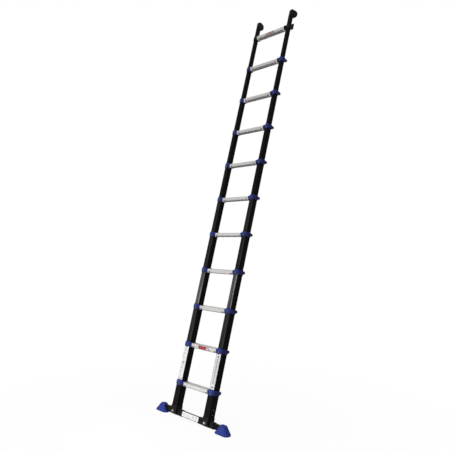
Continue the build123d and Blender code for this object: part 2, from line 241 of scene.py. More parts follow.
    pale_stripe_count: number_of("Pale stripes", 2, "Number of pale stripes on the second rung's badge")
    pale_stripe_place: length("Pale stripe place", 0.04392, "Where the pale stripes are along the badge")
    pale_stripe_proud: length("Pale stripe height", 0.00012, "How far they stand out of the badge")
    red_stripe_count: number_of("Red stripes", 6, "Number of red stripes on the top rung")
    red_stripe_proud: length("Red stripe height", 0.0003, "How far they stand out of the top rung")


class LadderColours(bpy.types.PropertyGroup):
    """Colours of the finishes."""

    stile: colour("Stiles", slot_colours["black_stile"], "Anodised stiles and stabiliser bar")
    # This pale colour is no mark of rubbing: it is the sheen painted on the stiles' fronts in place of a lamp's
    # reflection.
    painted_sheen: colour("Wear", (0.45, 0.44, 0.42), "Pale marks where the collars rub on the stiles")
    rung: colour("Rungs", (0.57, 0.57, 0.56), "Bare aluminium rungs")
    collar: colour("Collars", (0.026, 0.033, 0.125), "Moulded collars")
    shield: colour("Shields", (0.034, 0.062, 0.4), "Bright shields on the collars")
    black: colour("Black plastic", slot_colours["black_plastic"], "Top collars and base shoes")
    lock: colour("Locks", (0.42, 0.016, 0.016), "Lock sliders")
    foot: colour("Feet", (0.026, 0.044, 0.225), "Rubber feet")
    hook: colour("Hooks", slot_colours["black_rubber"], "Rubber hooks")
    # The pads' dark grey is partly painted shade under the rungs.
    pad: colour("Pads", (0.06, 0.06, 0.058), "Rubber pads under the rungs")
    bolt: colour("Bolts", (0.42, 0.42, 0.42), "Plated bolts at the base")
    fastener: colour("Fasteners", (0.2, 0.2, 0.21), "Dark screws, rivets and washers")
    label: colour("Labels", (0.7, 0.7, 0.715), "White labels")
    print: colour("Print", (0.14, 0.14, 0.145), "Grey marks on the labels")
    badge: colour("Badges", (0.33, 0.058, 0.056), "Plain badge and red stripes on two of the rungs")
    floor: colour("Floor", (0.85, 0.85, 0.85), "Floor under the ladder")


class LadderStage(bpy.types.PropertyGroup):
    """Camera and light."""

    camera_place: point("Camera place", (3.1948, -2.4734, 1.3436), "Where the camera stands")
    camera_aim: point("Camera aim", (-0.0051, 0.3481, 1.4174), "Where the camera looks")
    camera_lens: FloatProperty(
        name="Lens", description="Focal length in millimetres on a 36 mm sensor", default=44.22, min=1
    )
    floor_radius: length("Floor radius", 3.0, "Radius of the floor")
    key_place: point("Key light place", (-0.8, -3.0, 1.0), "Where the key light hangs")
    key_size: length("Key light size", 1.8, "Side of the key light")
    key_power: power("Key light", 56, "Power of the key light")
    fill_place: point("Fill light place", (0.0, -0.85, 0.16), "Where the low fill light stands")
    fill_aim: point("Fill light aim", (0.0, 0.0, -0.15), "Where the low fill light shines")
    fill_size: length("Fill light size", 0.3, "Side of the low fill light")
    fill_power: power("Fill light", 2.7, "Power of the low fill light")
    overhead_place: point("Overhead light place", (0.2, 0.8, 6.0), "Where the overhead light hangs")
    overhead_size: length("Overhead light size", 3.0, "Side of the overhead light")
    overhead_power: power("Overhead light", 150, "Power of the overhead light")
    ambient: FloatProperty(
        name="Ambient", description="Strength of the light from all round", default=0.3, min=0
    )


def ladder_point(x, out, along):
    """The point at x, a distance out towards the wall, and a distance along the ladder from the floor."""
    return Vector((x, 0, 0)) + out * to_wall + along * climb


def rung_point(section, across, up):
    """A point on a rung, as shares of the way from its front to its back and from its foot to its top."""
    low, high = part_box(f"rung_{section:02d}")
    return Vector((0, low.y + across * (high.y - low.y), low.z + up * (high.z - low.z)))


def rung_along(section):
    """How far along the ladder a section's rung is."""
    return rung_point(section, 0.5, 0).y / climb.y


def tube_size(section, sizes):
    """A section's width along the rungs and its depth."""
    shrink = sizes.section_step * (section - 1)
    return sizes.stile_width - shrink, sizes.stile_depth - shrink


def collar_front(section, sizes):
    """Where the front of a collar's shield is, out from the stile's axis towards the wall."""
    return -tube_size(section, sizes)[1] / 2 - sizes.collar_wall - sizes.shield_proud


def label_span(sizes):
    """The lower and upper ends of the labels on the second section's stiles, along the ladder."""
    room = sizes.collar_height / 2 + sizes.label_margin
    return rung_along(1) + room, rung_along(2) - room


def deselect():
    """Leaves nothing selected."""
    bpy.ops.object.select_all(action="DESELECT")


def activate(*pieces):
    """Selects only these pieces and makes the first one active."""
    deselect()
    for piece in pieces:
        piece.select_set(True)
    bpy.context.view_layer.objects.active = pieces[0]


def start(name, add_primitive, scale=(1, 1, 1), **settings):
    """Adds a primitive as the start of a piece, with its place and size in its mesh."""
    deselect()
    add_primitive(**settings)
    piece = bpy.context.active_object
    piece.name = name
    piece.scale = scale
    bpy.ops.object.transform_apply()
    return piece


def start_box(name, size, middle=(0, 0, 0)):
    """Starts a piece from a box of a given size, about a given middle."""
    return start(name, bpy.ops.mesh.primitive_cube_add, size=1, location=middle, scale=size)


def start_rod(name, radius, depth, rotation, middle=(0, 0, 0), vertices=48):
    """Starts a piece from a cylinder that is turned to lie along X or Y, about a given middle."""
    return start(
        name, bpy.ops.mesh.primitive_cylinder_add,
        vertices=vertices, radius=radius, depth=depth, location=middle, rotation=rotation,
    )


def edit_all(piece):
    """Opens a piece in edit mode with everything selected."""
    activate(piece)
    bpy.ops.object.mode_set(mode="EDIT")
    bpy.ops.mesh.select_mode(type="VERT")
    bpy.ops.mesh.select_all(action="SELECT")


def edit_top(piece):
    """Opens a piece in edit mode with the faces selected that face up."""
    activate(piece)
    bpy.ops.object.mode_set(mode="EDIT")
    bpy.ops.mesh.select_mode(type="FACE")
    bpy.ops.mesh.select_all(action="DESELECT")
    bpy.ops.object.mode_set(mode="OBJECT")
    for face in piece.data.polygons:
        face.select = face.normal.z > 0.5
    bpy.ops.object.mode_set(mode="EDIT")


def edit_middle(piece):
    """Opens a piece in edit mode with the corners selected that are half-way along X."""
    edit_all(piece)
    bpy.ops.mesh.select_all(action="DESELECT")
    bpy.ops.object.mode_set(mode="OBJECT")
    for corner in piece.data.vertices:
        corner.select = abs(corner.co.x) < same_place
    bpy.ops.object.mode_set(mode="EDIT")


def stop_edit():
    """Closes edit mode."""
    bpy.ops.object.mode_set(mode="OBJECT")


def face_outwards(piece):
    """Merges a piece's doubles and turns its faces outwards."""
    edit_all(piece)
    bpy.ops.mesh.remove_doubles(threshold=same_place)
    bpy.ops.mesh.normals_make_consistent(inside=False)
    stop_edit()


def modify(piece, kind, **settings):
    """Adds a modifier to a piece and applies it."""
    activate(piece)
    modifier = piece.modifiers.new(kind.lower(), kind)
    for name, value in settings.items():
        setattr(modifier, name, value)
    bpy.ops.object.modifier_apply(modifier=modifier.name)


def round_edges(piece, width, segments=2):
    """Rounds a piece's sharp edges."""
    modify(
        piece, "BEVEL", width=width, segments=segments,
        limit_method="ANGLE", angle_limit=sharp_angle, use_clamp_overlap=True,
    )


def repeat(piece, number, step):
    """Repeats a piece at equal steps."""
    modify(
        piece, "ARRAY", count=number, use_relative_offset=False, use_constant_offset=True,
        constant_offset_displace=step,
    )


def cut(piece, cutter):
    """Cuts a piece by another, which is then gone."""
    modify(piece, "BOOLEAN", operation="DIFFERENCE", object=cutter, solver="EXACT")
    bpy.data.objects.remove(cutter)


def copy_of(piece):
    """A copy of a piece, with its own mesh."""
    made = piece.copy()
    made.data = piece.data.copy()
    bpy.context.scene.collection.objects.link(made)
    return made


def copy_of_node(node, name):
    """A copy of a CAD part to model on, with its doubles merged."""
    made = bpy.data.objects.new(name, frame["nodes"][node].data.copy())
    bpy.context.scene.collection.objects.link(made)
    edit_all(made)
    bpy.ops.mesh.remove_doubles(threshold=same_place)
    stop_edit()
    return made


def place(piece, middle, turn=0, leaning=True):
    """Turns an upright piece about its own Z, tilts it by the ladder's lean and moves it to its place."""
    lean = Matrix.Rotation(tilt if leaning else 0, 4, "X")
    activate(piece)
    piece.matrix_world = Matrix.Translation(middle) @ lean @ Matrix.Rotation(turn, 4, "Z")
    bpy.ops.object.transform_apply()


def join(name, pieces):
    """Joins pieces into one."""
    activate(*pieces)
    if len(pieces) > 1:
        bpy.ops.object.join()
    pieces[0].name = name
    return pieces[0]


def on_stiles(name, piece, reach, out, along, turned=False):
    """Sets a piece on the left stile, turned if asked, and its copy on the right one, and joins them."""
    pieces = [piece, copy_of(piece)]
    for one, side in zip(pieces, sides.values()):
        place(one, ladder_point(side * reach, out, along), pi if turned and side < 0 else 0)
    return join(name, pieces)


def settle(piece, body, finish):
    """Gives a finished piece its shading and finish, and sets it on its body."""
    activate(piece)
    bpy.ops.object.shade_smooth_by_angle(angle=smooth_angle)
    piece.data.materials.clear()
    piece.data.materials.append(finish)
    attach(piece, body)


def start_plate(name, width, height, corner, thickness, middle=(0, 0, 0), line=0):
    """Starts a plate with round corners, or a square frame of a given line, that faces the climber."""
    plate = start(
        name, bpy.ops.mesh.primitive_plane_add, size=1, location=middle, rotation=facing_climber,
        scale=(width, height, 1),
    )
    edit_all(plate)
    if line:
        bpy.ops.mesh.inset(thickness=line)
        bpy.ops.mesh.delete(type="FACE")
    else:
        bpy.ops.mesh.bevel(offset=corner, segments=5, affect="VERTICES")
    bpy.ops.mesh.select_all(action="SELECT")
    bpy.ops.mesh.extrude_region_move(TRANSFORM_OT_translate={"value": (0, -thickness, 0)})
    stop_edit()
    face_outwards(plate)
    return plate


def add(tree, kind, inputs=None, **attributes):
    """Adds a node, sets its attributes, and sets or links its inputs."""
    made = tree.nodes.new("ShaderNode" + kind)
    for name, value in attributes.items():
        setattr(made, name, value)
    for name, value in (inputs or {}).items():
        if isinstance(value, bpy.types.NodeSocket):
            tree.links.new(value, made.inputs[name])
        else:
            made.inputs[name].default_value = value
    return made


def grain(tree, size, turn=0.0, detail=3.0):
    """Noise from 0 to 1 whose grains have a size along X, Y and Z, in axes turned about X."""
    place_on_piece = add(tree, "TexCoord").outputs["Object"]
    turned = add(
        tree,
        "Mapping",
        {"Vector": place_on_piece, "Rotation": (turn, 0, 0), "Scale": size},
        vector_type="TEXTURE",
    )
    noise = add(tree, "TexNoise", {"Vector": turned.outputs["Vector"], "Scale": 1.0, "Detail": detail})
    return noise.outputs["Fac"]


def spread(tree, value, low, high, start_at=0.3, end_at=0.7):
    """Spreads a noise over a range of values."""
    return add(
        tree,
        "MapRange",
        {"Value": value, "From Min": start_at, "From Max": end_at, "To Min": low, "To Max": high},
    ).outputs["Result"]


def mottle(tree, value, dark, light, start_at=0.3, end_at=0.7):
    """Spreads a noise over two colours."""
    ramp = add(tree, "ValToRGB", {"Fac": value})
    for stop, position, shade in zip(ramp.color_ramp.elements, (start_at, end_at), (dark, light)):
        stop.position = position
        stop.color = (*shade, 1)
    return ramp.outputs["Color"]


def shaded(shade, factor):
    """A colour made darker or lighter."""
    return tuple(min(1, part * factor) for part in shade)


def new_finish(name):
    """A new material and its node tree."""
    finish = bpy.data.materials.new(name)
    finish.use_nodes = True
    return finish, finish.node_tree


def set_shader(tree, inputs):
    """Sets or links the inputs of a finish's shader."""
    shader = tree.nodes["Principled BSDF"]
    for name, value in inputs.items():
        if isinstance(value, bpy.types.NodeSocket):
            tree.links.new(value, shader.inputs[name])
        else:
            shader.inputs[name].default_value = value


def bump(tree, height, distance):
    """A dented surface from a height."""
    return add(tree, "Bump", {"Height": height, "Distance": distance, "Strength": 1.0}).outputs["Normal"]


def multiply(tree, *values):
    """The product of some values."""
    product = values[0]
    for value in values[1:]:
        product = add(tree, "Math", {0: product, 1: value}, operation="MULTIPLY").outputs[0]
    return product


def multiply_add(tree, value, factor, more):
    """A value times a factor, and more added."""
    return add(tree, "Math", {0: value, 1: factor, 2: more}, operation="MULTIPLY_ADD").outputs[0]


def sheen_strip(tree, spacing, left, right, edge):
    """1 on a strip up each stile between two places from the stile's axis, and 0 beside it."""
    place_on_piece = add(tree, "TexCoord").outputs["Object"]
    across = add(tree, "SeparateXYZ", {"Vector": place_on_piece}).outputs["X"]
    folded = add(tree, "Math", {0: across, 1: spacing, 2: 0.0}, operation="WRAP").outputs[0]
    axis = spacing / 2
    rising = spread(tree, folded, 0, 1, axis + left - edge, axis + left + edge)
    falling = spread(tree, folded, 1, 0, axis + right - edge, axis + right + edge)
    return multiply(tree, rising, falling)


def anodised_finish(name, shade, pale, turn, spacing, width, painted_sheen):
    """Black anodised aluminium, drawn along the ladder, with a pale sheen painted on the stiles' fronts in place
    of a lamp's reflection.
    """
    finish, tree = new_finish(name)
    lines = grain(tree, (0.0006, 0.0006, 0.12), turn)
    clouds = grain(tree, (0.02, 0.02, 0.15), turn)
    streaks = spread(tree, grain(tree, (0.0025, 0.0025, 0.2), turn), 0, 1, 0.34, 0.64)
    # Painted sheen: a pale strip near each stile's front corner and a fainter band across the rest of its front,
    # broken into streaks, stand in for a lamp's reflection.
    sheen_start, sheen_end, sheen_edge = 0.2 * width, 0.42 * width, 0.03 * width
    corner_sheen = sheen_strip(tree, spacing, sheen_start, sheen_end, sheen_edge)
    broad_sheen = sheen_strip(tree, spacing, -sheen_end, sheen_start, sheen_edge)
    broad_sheen_share = 0.45
    sheen_mask = multiply_add(tree, broad_sheen, broad_sheen_share, corner_sheen)
    sheen_amount = multiply(tree, sheen_mask, streaks, painted_sheen)
    black = mottle(tree, clouds, shaded(shade, 0.55), shaded(shade, 1.0))
    mixed = add(tree, "Mix", {"Factor": sheen_amount, 6: black, 7: (*pale, 1)}, data_type="RGBA")
    set_shader(tree, {
        "Base Color": mixed.outputs[2],
        "Roughness": spread(tree, lines, 0.26, 0.4),
        "Specular IOR Level": 0.02,
        "Normal": bump(tree, lines, 0.00003),
    })
    return finish


def brushed_finish(name, shade):
    """Bare aluminium, drawn along the rungs."""
    finish, tree = new_finish(name)
    lines = grain(tree, (0.12, 0.0005, 0.0005))
    clouds = grain(tree, (0.06, 0.015, 0.015))
    line_share = 0.6
    drawn = multiply_add(tree, lines, line_share, multiply(tree, clouds, 1 - line_share))
    set_shader(tree, {
        "Base Color": mottle(tree, drawn, shaded(shade, 0.86), shaded(shade, 1.1), 0.38, 0.62),
        "Metallic": 0.2,
        "Roughness": spread(tree, lines, 0.26, 0.46),
        "Normal": bump(tree, lines, 0.00004),
    })
    return finish


def moulded_finish(name, shade, roughness, pit):
    """Moulded plastic or rubber with a fine grain and a slightly uneven colour."""
    finish, tree = new_finish(name)
    pits = grain(tree, (pit, pit, pit))
    clouds = grain(tree, (0.03, 0.03, 0.03))
    unevenness = 0.06
    set_shader(tree, {
        "Base Color": mottle(tree, clouds, shaded(shade, 0.86), shaded(shade, 1.1)),
        "Roughness": spread(tree, clouds, roughness - unevenness, roughness + unevenness),
        "Specular IOR Level": 0.05,
        "Normal": bump(tree, pits, 0.00012),
    })
    return finish


def plated_finish(name, shade):
    """Zinc-plated steel with a faintly clouded surface."""
    finish, tree = new_finish(name)
    clouds = grain(tree, (0.004, 0.004, 0.004))
    set_shader(tree, {
        "Base Color": mottle(tree, clouds, shaded(shade, 0.85), shaded(shade, 1.15)),
        "Metallic": 1.0,
        "Roughness": spread(tree, clouds, 0.28, 0.42),
    })
    return finish


def label_finish(name, shade):
    """White printed film, faintly yellowed in patches."""
    finish, tree = new_finish(name)
    clouds = grain(tree, (0.01, 0.01, 0.01))
    set_shader(tree, {
        "Base Color": mottle(tree, clouds, shaded(shade, 0.95), shade),
        "Roughness": spread(tree, clouds, 0.38, 0.5),
    })
    return finish


def stile_finish(name, section, painted_sheen):
    """The finish of a section's stiles, with a sheen painted on their fronts at a share from 0 to 1."""
    sizes = bpy.context.scene.ladder_sizes
    colours = bpy.context.scene.ladder_colours
    width = tube_size(section, sizes)[0]
    return anodised_finish(name, colours.stile, colours.painted_sheen, tilt, sizes.stile_spacing, width, painted_sheen)


def finish_for(slot):
    """The finish of one of the record's material slots or of the dark fasteners, made once."""
    made = bpy.data.materials.get(f"ladder_{slot}")
    if made:
        return made
    colours = bpy.context.scene.ladder_colours
    name = f"ladder_{slot}"
    if slot == "black_stile":
        return stile_finish(name, 1, 0)
    if slot == "bare_rung":
        return brushed_finish(name, colours.rung)
    if slot == "pale_bolt":
        return plated_finish(name, colours.bolt)
    if slot == "fastener":
        return plated_finish(name, colours.fastener)
    shade, roughness, pit = {
        "blue_collar": (colours.collar, 0.46, 0.0007),
        "black_plastic": (colours.black, 0.48, 0.0007),
        "red_lock": (colours.lock, 0.34, 0.0005),
        "blue_rubber": (colours.foot, 0.62, 0.0009),
        "black_rubber": (colours.hook, 0.6, 0.0009),
    }[slot]
    return moulded_finish(name, shade, roughness, pit)


class LADDER_OT_finishes(bpy.types.Operator):
    """Give every part of the ladder its finish"""

    bl_idname = "ladder.finishes"
    bl_label = "Finishes"

    def execute(self, context):
        for node, part in frame["nodes"].items():
            part.data.materials.clear()
            part.data.materials.append(finish_for(slot_of[node]))
        # These sections' stiles get a sheen painted on their fronts.
        for section, painted_sheen in painted_sheen_of_sections.items():
            stiles = frame["nodes"][f"stile_tubes_{section:02d}"].data
            stiles.materials[0] = stile_finish(f"ladder_painted_sheen_stile_{section:02d}", section, painted_sheen)
        return {"FINISHED"}


class LADDER_OT_collar_screws(bpy.types.Operator):
    """Add the screws that hold the collars on their tubes"""

    bl_idname = "ladder.collar_screws"
    bl_label = "Collar screws"

    def model(self, sizes):
        """A pan-head screw with a hexagon socket, facing the climber."""
        depth = 2 * sizes.screw_height
        screw = start_rod("collar_screw", sizes.screw_radius, depth, facing_climber, vertices=24)
        round_edges(screw, sizes.screw_edge, 3)
        middle = (0, sizes.socket_depth - depth, 0)
        socket = start_rod("screw_socket", sizes.socket_radius, depth, facing_climber, middle, vertices=6)
        cut(screw, socket)
        return screw

    def execute(self, context):
        sizes = context.scene.ladder_sizes
        model = self.model(sizes)
        for section in sections[:-1]:
            along = rung_along(section) - sizes.screw_drop
            face = collar_front(section, sizes)
            name = f"collar_screws_{section:02d}"
            piece = on_stiles(name, copy_of(model), sizes.stile_spacing / 2, face, along)
            settle(piece, body_of[f"collars_{section:02d}"], finish_for("fastener"))
        bpy.data.objects.remove(model)
        return {"FINISHED"}


class LADDER_OT_collar_shields(bpy.types.Operator):
    """Add the bright inlays on the shields in front of the collars"""

    bl_idname = "ladder.collar_shields"
    bl_label = "Collar shields"

    def model(self, sizes, width):
        """A chevron that faces the climber, about the middle of its collar's front."""
        arm = sizes.shield_share * width / 2 - sizes.inlay_margin
        inlay = start_box("shield_inlay", (2 * arm, 2 * sizes.inlay_proud, sizes.inlay_height))
        modify(inlay, "MIRROR", use_axis=(True, False, False), use_bisect_axis=(True, False, False))
        edit_middle(inlay)
        bpy.ops.transform.translate(value=(0, 0, -sizes.inlay_point))
        stop_edit()
        round_edges(inlay, sizes.inlay_edge)
        return inlay

    def execute(self, context):
        sizes = context.scene.ladder_sizes
        colours = context.scene.ladder_colours
        finish = moulded_finish("ladder_shield", colours.shield, roughness=0.4, pit=0.0006)
        for section in sections[:-1]:
            along = rung_along(section) + sizes.inlay_lift
            face = collar_front(section, sizes)
            inlay = self.model(sizes, tube_size(section, sizes)[0])
            piece = on_stiles(f"collar_shields_{section:02d}", inlay, sizes.stile_spacing / 2, face, along)
            settle(piece, body_of[f"collars_{section:02d}"], finish)
        return {"FINISHED"}


class LADDER_OT_collar_grips(bpy.types.Operator):
    """Add the grip ribs on the outer sides of the collars"""

    bl_idname = "ladder.collar_grips"
    bl_label = "Collar grips"

    def model(self, sizes, depth):
        """A row of ribs along Y that stands out of a collar's +X side."""
        room = depth - 2 * sizes.tube_corner
        number = int(room / sizes.grip_pitch) + 1
        first = -sizes.grip_pitch * (number - 1) / 2
        ribs = start_box(
            "collar_grip", (2 * sizes.grip_proud, sizes.grip_width, sizes.grip_height), (0, first, 0)
        )
        round_edges(ribs, sizes.grip_edge, 3)
        repeat(ribs, number, (0, sizes.grip_pitch, 0))
        return ribs

    def execute(self, context):
        sizes = context.scene.ladder_sizes
        for section in sections:
            width, depth = tube_size(section, sizes)
            reach = (sizes.stile_spacing + width) / 2 + sizes.collar_wall
            along = rung_along(section)
            collars = f"collars_{section:02d}"
            grip = self.model(sizes, depth)
            piece = on_stiles(f"collar_grips_{section:02d}", grip, reach, 0, along, turned=True)
            settle(piece, body_of[collars], finish_for(slot_of[collars]))
        return {"FINISHED"}


class LADDER_OT_lock_grips(bpy.types.Operator):
    """Add the ridges on the thumb tabs of the lock sliders"""

    bl_idname = "ladder.lock_grips"
    bl_label = "Lock grips"

    def model(self, sizes):
        """A row of upright ridges along X that stands out towards the climber."""
        first = -sizes.ridge_pitch * (sizes.ridge_count - 1) / 2
        ridges = start_box(
            "lock_grip", (sizes.ridge_width, 2 * sizes.ridge_proud, sizes.ridge_height), (first, 0, 0)
        )
        round_edges(ridges, sizes.ridge_edge, 3)
        repeat(ridges, sizes.ridge_count, (sizes.ridge_pitch, 0, 0))
        return ridges

    def execute(self, context):
        sizes = context.scene.ladder_sizes
        model = self.model(sizes)
        for section in sections[:-1]:
            height = climb.z * rung_along(section) - sizes.tab_drop
            for name, side in sides.items():
                slider = f"lock_slider_{name}_{section:02d}"
                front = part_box(slider)[0].y
                grip = copy_of(model)
                grip.name = f"lock_grip_{name}_{section:02d}"
                place(grip, Vector((side * sizes.tab_place, front, height)), leaning=False)
                settle(grip, body_of[slider], finish_for("red_lock"))
        bpy.data.objects.remove(model)
        return {"FINISHED"}


class LADDER_OT_rung_pads(bpy.types.Operator):
    """Add the dark rubber pads that wrap the undersides of the rungs, partly as painted shade, with dark lips on
    the upper rungs as painted shade
    """

    bl_idname = "ladder.rung_pads"
    bl_label = "Rung pads"

    def start_wedge(self, name, sizes, width, grow):
        """Starts a block with the slope of a rung's lower edges, grown outwards and downwards."""
        height = sizes.pad_wrap + grow
        depth = sizes.rung_base_depth + 2 * grow
        widening = sizes.pad_wrap * (sizes.rung_depth - sizes.rung_base_depth) / sizes.rung_slope
        wedge = start_box(name, (width, depth, height), (0, 0, height / 2 - grow))
        edit_top(wedge)
        bpy.ops.transform.resize(value=(1, 1 + widening / depth, 1))
        stop_edit()
        return wedge

    def make_row(self, piece, sizes, number):
        """Repeats a pad or its lips along X, about the rung's middle."""
        edit_all(piece)
        bpy.ops.transform.translate(value=(-sizes.pad_pitch * (number - 1) / 2, 0, 0))
        stop_edit()
        repeat(piece, number, (sizes.pad_pitch, 0, 0))

    def pads(self, sizes):
        """A row of pads that wrap a rung's lower edges, with the rung's underside at the origin."""
        pads = self.start_wedge("rung_pads", sizes, sizes.pad_length, sizes.pad_proud)
        cut(pads, self.start_wedge("pad_inside", sizes, 2 * sizes.pad_length, -sizes.pad_sunk))
        round_edges(pads, sizes.pad_edge)
        self.make_row(pads, sizes, sizes.pad_count)
        return pads

    def lips(self, sizes, number):
        """Two rows of dark lips that lead the pads up a rung's front and back, as painted shade on its lower edge.
        """
        thickness = sizes.pad_sunk + sizes.lip_proud
        face = sizes.rung_depth / 2 + sizes.lip_proud - thickness / 2
        rows = []
        for out in (-face, face):
            middle = (0, out, sizes.pad_wrap + sizes.lip_reach / 2)
            lip = start_box("pad_lip", (sizes.pad_length, thickness, sizes.lip_reach), middle)
            round_edges(lip, sizes.lip_edge)
            self.make_row(lip, sizes, number)
            rows.append(lip)
        return rows

    def execute(self, context):
        sizes = context.scene.ladder_sizes
        colours = context.scene.ladder_colours
        finish = moulded_finish("ladder_pad_and_shade", colours.pad, roughness=0.6, pit=0.0006)
        for section in sections:
            pads = [self.pads(sizes)]
            # The upper rungs also get the dark lips, as painted shade on their lower edges.
            if section >= first_shade_lip_rung:
                room = 0 if section == section_count else sizes.tab_room
                pads += self.lips(sizes, sizes.pad_count - 2 * room)
            piece = join(f"rung_pads_{section:02d}", pads)
            place(piece, rung_point(section, 0.5, 0), leaning=False)
            settle(piece, body_of[f"rung_{section:02d}"], finish)
        return {"FINISHED"}


class LADDER_OT_tread_teeth(bpy.types.Operator):
    """Add the teeth along the front and back edges of the treads"""

    bl_idname = "ladder.tread_teeth"
    bl_label = "Tread teeth"

    def model(self, sizes):
        """Two rows of blunt teeth along X, standing on the XY plane."""
        size, height = sizes.tooth_size, sizes.tooth_height
        first = -sizes.tooth_pitch * (sizes.tooth_count - 1) / 2
        row_spacing = sizes.rung_depth - 2 * sizes.tooth_inset
        teeth = start_box("tread_tooth", (size, size, 2 * height), (first, -row_spacing / 2, 0))
        edit_top(teeth)
        bpy.ops.transform.resize(value=(sizes.tooth_taper, sizes.tooth_taper, 1))
        stop_edit()
        repeat(teeth, sizes.tooth_count, (sizes.tooth_pitch, 0, 0))
        repeat(teeth, 2, (0, row_spacing, 0))
        return teeth

    def execute(self, context):
        model = self.model(context.scene.ladder_sizes)
        for section in sections:
            teeth = copy_of(model)
            teeth.name = f"tread_teeth_{section:02d}"
            place(teeth, rung_point(section, 0.5, 1), leaning=False)
            settle(teeth, body_of[f"rung_{section:02d}"], finish_for("bare_rung"))
        bpy.data.objects.remove(model)
        return {"FINISHED"}


class LADDER_OT_feet(bpy.types.Operator):
    """Model the rubber feet with grooves across their soles"""

    bl_idname = "ladder.feet"
    bl_label = "Feet"

    def treads(self, sizes, low, high):
        """Bars across a sole, to cut its grooves."""
        number = int((high.x - low.x) / sizes.tread_pitch) - 1
        first = (low.x + high.x - sizes.tread_pitch * (number - 1)) / 2
        bars = start_box(
            "foot_tread", (sizes.tread_width, 2 * (high.y - low.y), 2 * sizes.tread_depth), (first, 0, 0)
        )
        repeat(bars, number, (sizes.tread_pitch, 0, 0))
        return bars

    def execute(self, context):
        sizes = context.scene.ladder_sizes
        for name in sides:
            node = f"foot_{name}"
            foot = copy_of_node(node, f"rubber_foot_{name}")
            cut(foot, self.treads(sizes, *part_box(node)))
            settle(foot, body_of[node], finish_for("blue_rubber"))
            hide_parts(node)
        return {"FINISHED"}


class LADDER_OT_washers(bpy.types.Operator):
    """Add the washers round the heads of the base bolts"""

    bl_idname = "ladder.washers"
    bl_label = "Washers"

    def execute(self, context):
        sizes = context.scene.ladder_sizes
        face = -sizes.stile_depth / 2 - sizes.shoe_wall
        depth = 2 * sizes.washer_thickness
        for name, side in sides.items():
            washer = start_rod(f"base_washer_{name}", sizes.washer_radius, depth, facing_climber)
            cut(washer, start_rod("washer_bore", sizes.head_room, 2 * depth, facing_climber))
            round_edges(washer, sizes.washer_edge)
            place(washer, ladder_point(side * sizes.stile_spacing / 2, face, sizes.bar_place))
            settle(washer, body_of["base_bolts"], finish_for("fastener"))
        return {"FINISHED"}


class LADDER_OT_rivets(bpy.types.Operator):
    """Add the rivets that hold the bottom of the stiles in the shoes"""

    bl_idname = "ladder.rivets"
    bl_label = "Rivets"

    def execute(self, context):
        sizes = context.scene.ladder_sizes
        face = (sizes.stile_spacing + sizes.stile_width) / 2
        depth = 2 * sizes.rivet_height
        for name, side in sides.items():
            rivets = start_rod(
                f"stile_rivets_{name}", sizes.rivet_radius, depth, facing_sideways, vertices=24
            )
            round_edges(rivets, sizes.rivet_edge, 3)
            repeat(rivets, 2, (0, 0, sizes.rivet_pitch))
            place(rivets, ladder_point(side * face, 0, sizes.rivet_place))
            settle(rivets, body_of["stile_tubes_01"], finish_for("fastener"))
        return {"FINISHED"}


class LADDER_OT_hook_ribs(bpy.types.Operator):
    """Add the grip ribs under the noses of the top hooks"""

    bl_idname = "ladder.hook_ribs"
    bl_label = "Hook ribs"

    def model(self, sizes):
        """Round ribs across a hook, with the end of its tube at the origin."""
        width = tube_size(section_count, sizes)[0] - 2 * sizes.tube_corner
        ribs = []
        for rib in range(sizes.hook_rib_count):
            angle = pi / 2 * (rib + 0.5) / sizes.hook_rib_count
            out = sizes.hook_throat + (sizes.hook_reach - sizes.hook_throat) * sin(angle)
            height = sizes.hook_nose * (1 - cos(angle))
            piece = start_rod(
                "hook_rib", sizes.hook_rib_radius, width, facing_sideways, (0, out, height), vertices=16
            )
            round_edges(piece, sizes.hook_rib_edge, 3)
            ribs.append(piece)
        return join("hook_ribs", ribs)

    def execute(self, context):
        sizes = context.scene.ladder_sizes
        tube_end = rung_along(section_count) + sizes.hook_stub
        model = self.model(sizes)
        for name, side in sides.items():
            ribs = copy_of(model)
            ribs.name = f"hook_ribs_{name}"
            middle = ladder_point(side * sizes.stile_spacing / 2, 0, tube_end)
            place(ribs, middle, -side * sizes.hook_splay)
            settle(ribs, body_of["top_hooks"], finish_for("black_rubber"))
        bpy.data.objects.remove(model)
        return {"FINISHED"}


class LADDER_OT_labels(bpy.types.Operator):
    """Stick the white labels on the second section's stiles and on the stabiliser bar"""

    bl_idname = "ladder.labels"
    bl_label = "Labels"

    def execute(self, context):
        sizes = context.scene.ladder_sizes
        finish = label_finish("ladder_label", context.scene.ladder_colours.label)
        width, depth = tube_size(2, sizes)
        low, high = label_span(sizes)
        for name, side in sides.items():
            label = start_plate(
                f"stile_label_{name}", width - 2 * sizes.tube_corner, high - low,
                sizes.label_corner, sizes.label_thickness,
            )
            place(label, ladder_point(side * sizes.stile_spacing / 2, -depth / 2, (low + high) / 2))
            settle(label, body_of["stile_tubes_02"], finish)
        label = start_plate(
            "bar_label", sizes.bar_label_length, sizes.bar_height - 2 * sizes.bar_corner,
            sizes.label_corner, sizes.label_thickness,
        )
        place(label, ladder_point(0, -sizes.bar_depth / 2, sizes.bar_place))
        settle(label, body_of["stabiliser_bar"], finish)
        return {"FINISHED"}


